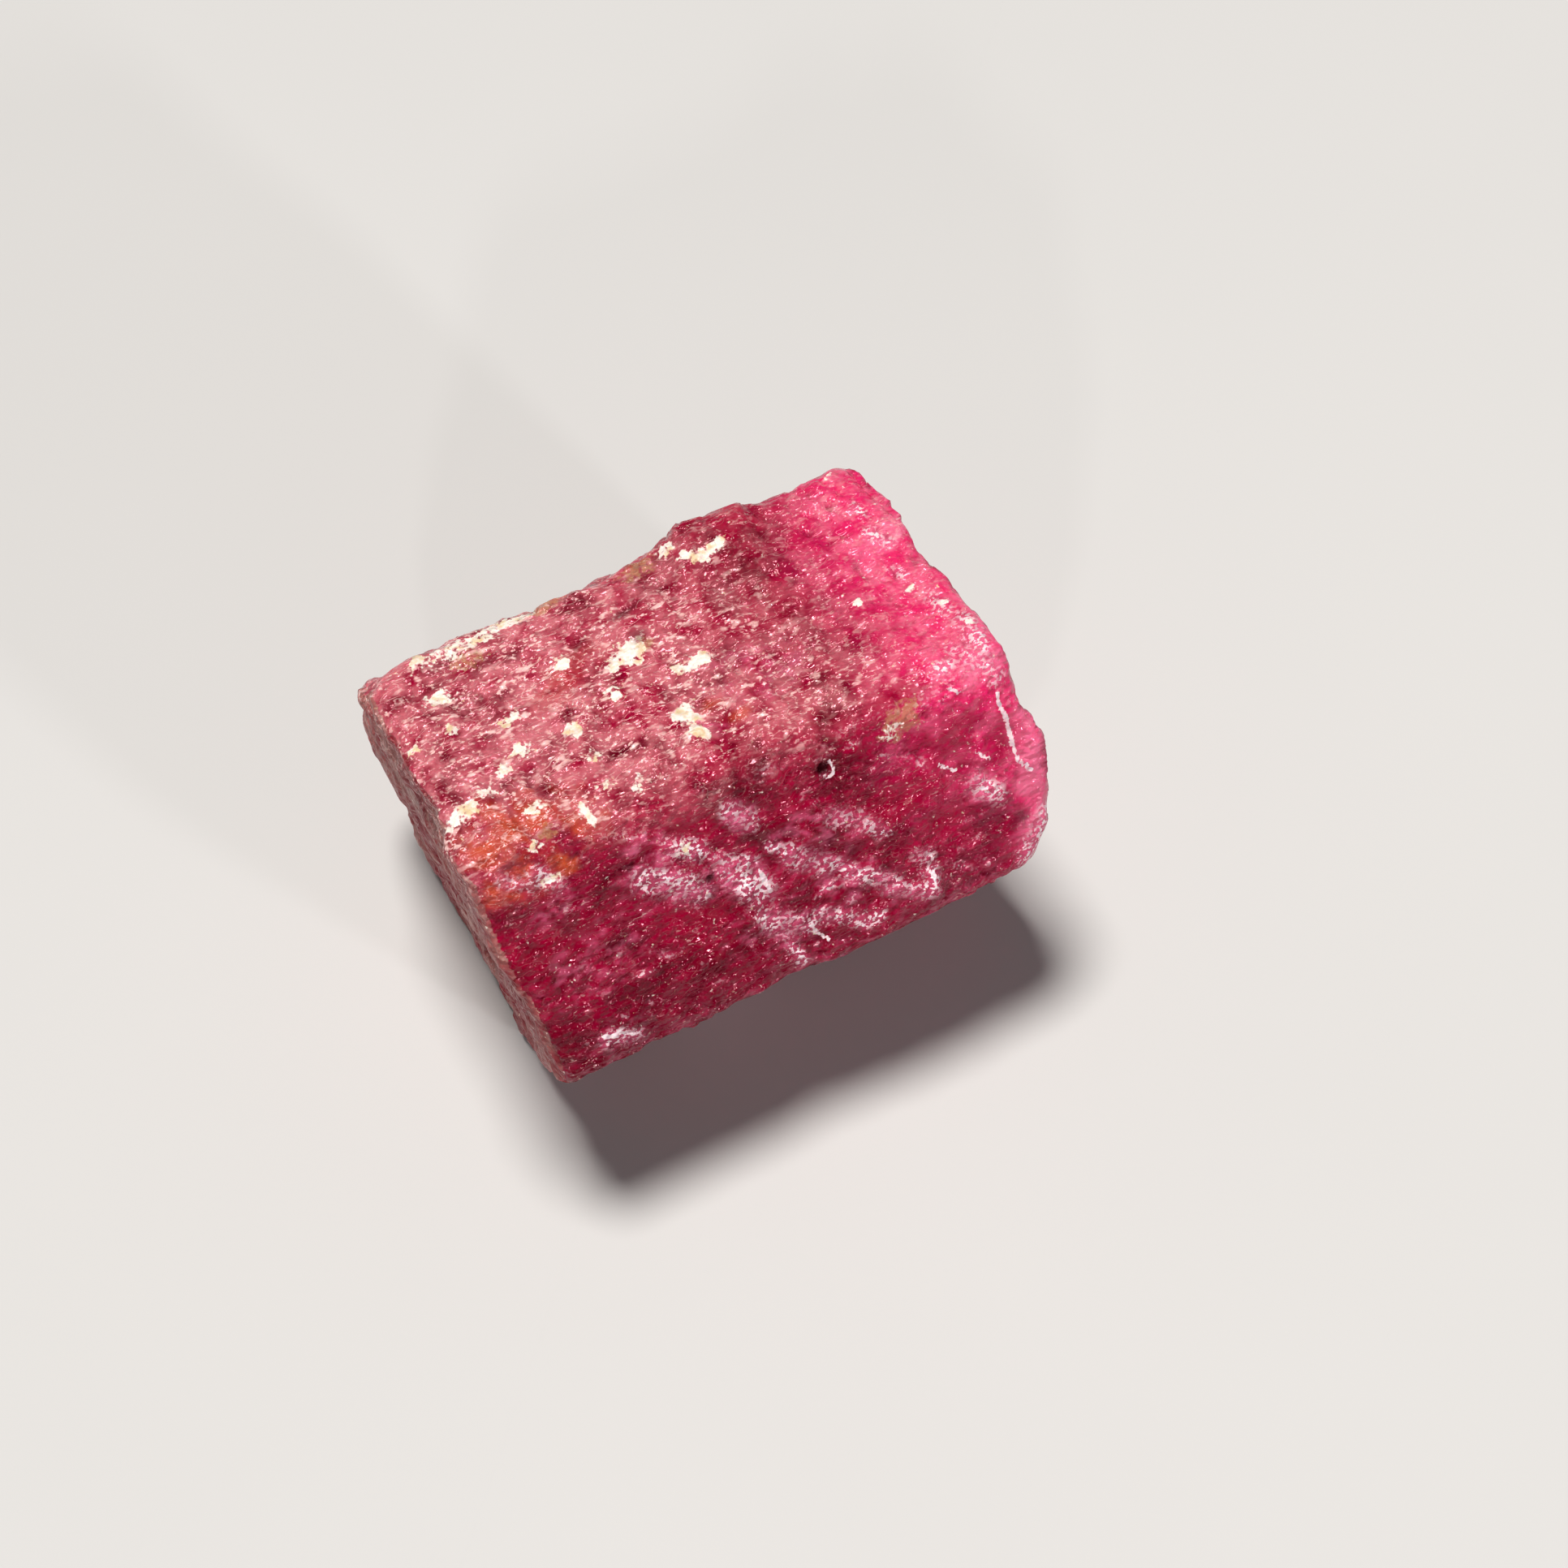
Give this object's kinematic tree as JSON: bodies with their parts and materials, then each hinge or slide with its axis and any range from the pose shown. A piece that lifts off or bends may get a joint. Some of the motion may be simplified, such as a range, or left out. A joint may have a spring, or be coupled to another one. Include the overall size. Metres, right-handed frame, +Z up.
{
  "type": "ruby crystal",
  "caption": "Rough ruby crystal: a worn six-sided corundum prism lying on one prism face, with an oblique parted end, a chipped end, ledges and pits.",
  "frame": {"origin": "under the middle of the crystal's box, on the surface that it rests on", "axes": "+X along the prism's length, from the parted end to the chipped end; +Z up, out of the prism face that shows"},
  "size_m": [0.0162, 0.0142, 0.0125],
  "materials": {
    "ruby": "waxy gloss, rough natural faces, slightly translucent"
  },
  "bodies": {
    "root": {"ruby_crystal": "ruby"}
  },
  "joints": []
}
